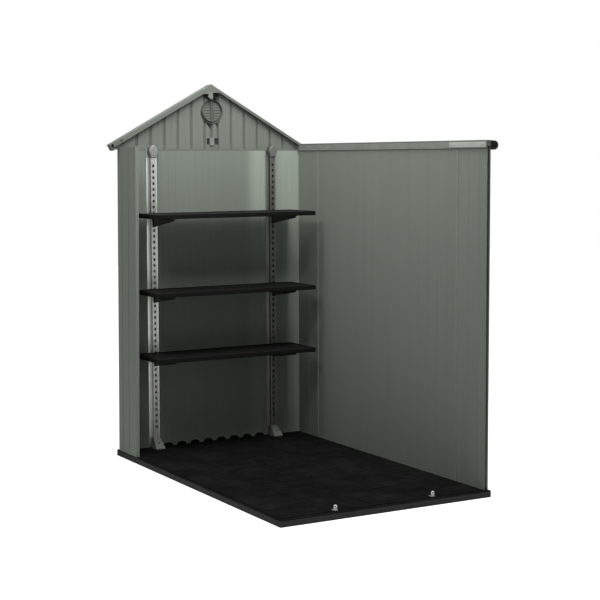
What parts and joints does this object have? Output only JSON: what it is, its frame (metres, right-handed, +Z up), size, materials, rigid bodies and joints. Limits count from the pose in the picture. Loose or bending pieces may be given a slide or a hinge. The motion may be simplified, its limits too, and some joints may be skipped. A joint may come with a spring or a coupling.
{
  "type": "plastic garden shed cutaway",
  "caption": "Small gabled plastic shed shown cut away: black floor, rear gable wall, right side wall, slotted uprights and bracketed shelves.",
  "frame": {"origin": "centre of the footprint, on the underside of the floor", "axes": "+Z up, +X towards the right side wall, +Y towards the rear gable wall, so the open front faces -Y"},
  "size_m": [1.258, 1.836, 2.0507],
  "materials": {
    "sage_panel": "satin, fine vertical wood grain",
    "sage_trim": "satin",
    "black_plastic": "fine texture",
    "pale_plastic": "satin",
    "galvanised": "galvanised",
    "black_steel": "satin powder coat"
  },
  "bodies": {
    "root": {"floor_front_panel": "black_plastic", "floor_rear_panel": "black_plastic", "rear_left_corner_panel": "sage_panel", "rear_middle_panel": "sage_panel", "rear_right_corner_panel": "sage_panel", "right_middle_panel": "sage_panel", "right_front_panel": "sage_panel", "rear_left_seam_strip": "sage_trim", "rear_right_seam_strip": "sage_trim", "right_rear_seam_strip": "sage_trim", "right_front_seam_strip": "sage_trim", "gable_panel": "sage_panel", "gable_vent": "sage_trim", "ridge_socket": "sage_trim", "gable_lock_block": "sage_trim", "rake_strip_left": "sage_trim", "rake_strip_right": "sage_trim", "ridge_cap": "sage_trim", "eave_profile_right": "sage_trim", "eave_end_left": "sage_trim", "wall_top_rail": "sage_trim", "rail_cover_strip": "pale_plastic", "upright_left": "galvanised", "upright_right": "galvanised", "upright_cap_left": "pale_plastic", "upright_cap_right": "pale_plastic", "upright_foot_left": "pale_plastic", "upright_foot_right": "pale_plastic", "shelf_bottom": "black_plastic", "shelf_middle": "black_plastic", "shelf_top": "black_plastic", "bracket_bottom_left": "black_steel", "bracket_bottom_right": "black_steel", "bracket_middle_left": "black_steel", "bracket_middle_right": "black_steel", "bracket_top_left": "black_steel", "bracket_top_right": "black_steel", "door_catch_left": "galvanised", "door_catch_right": "galvanised"}
  },
  "joints": []
}
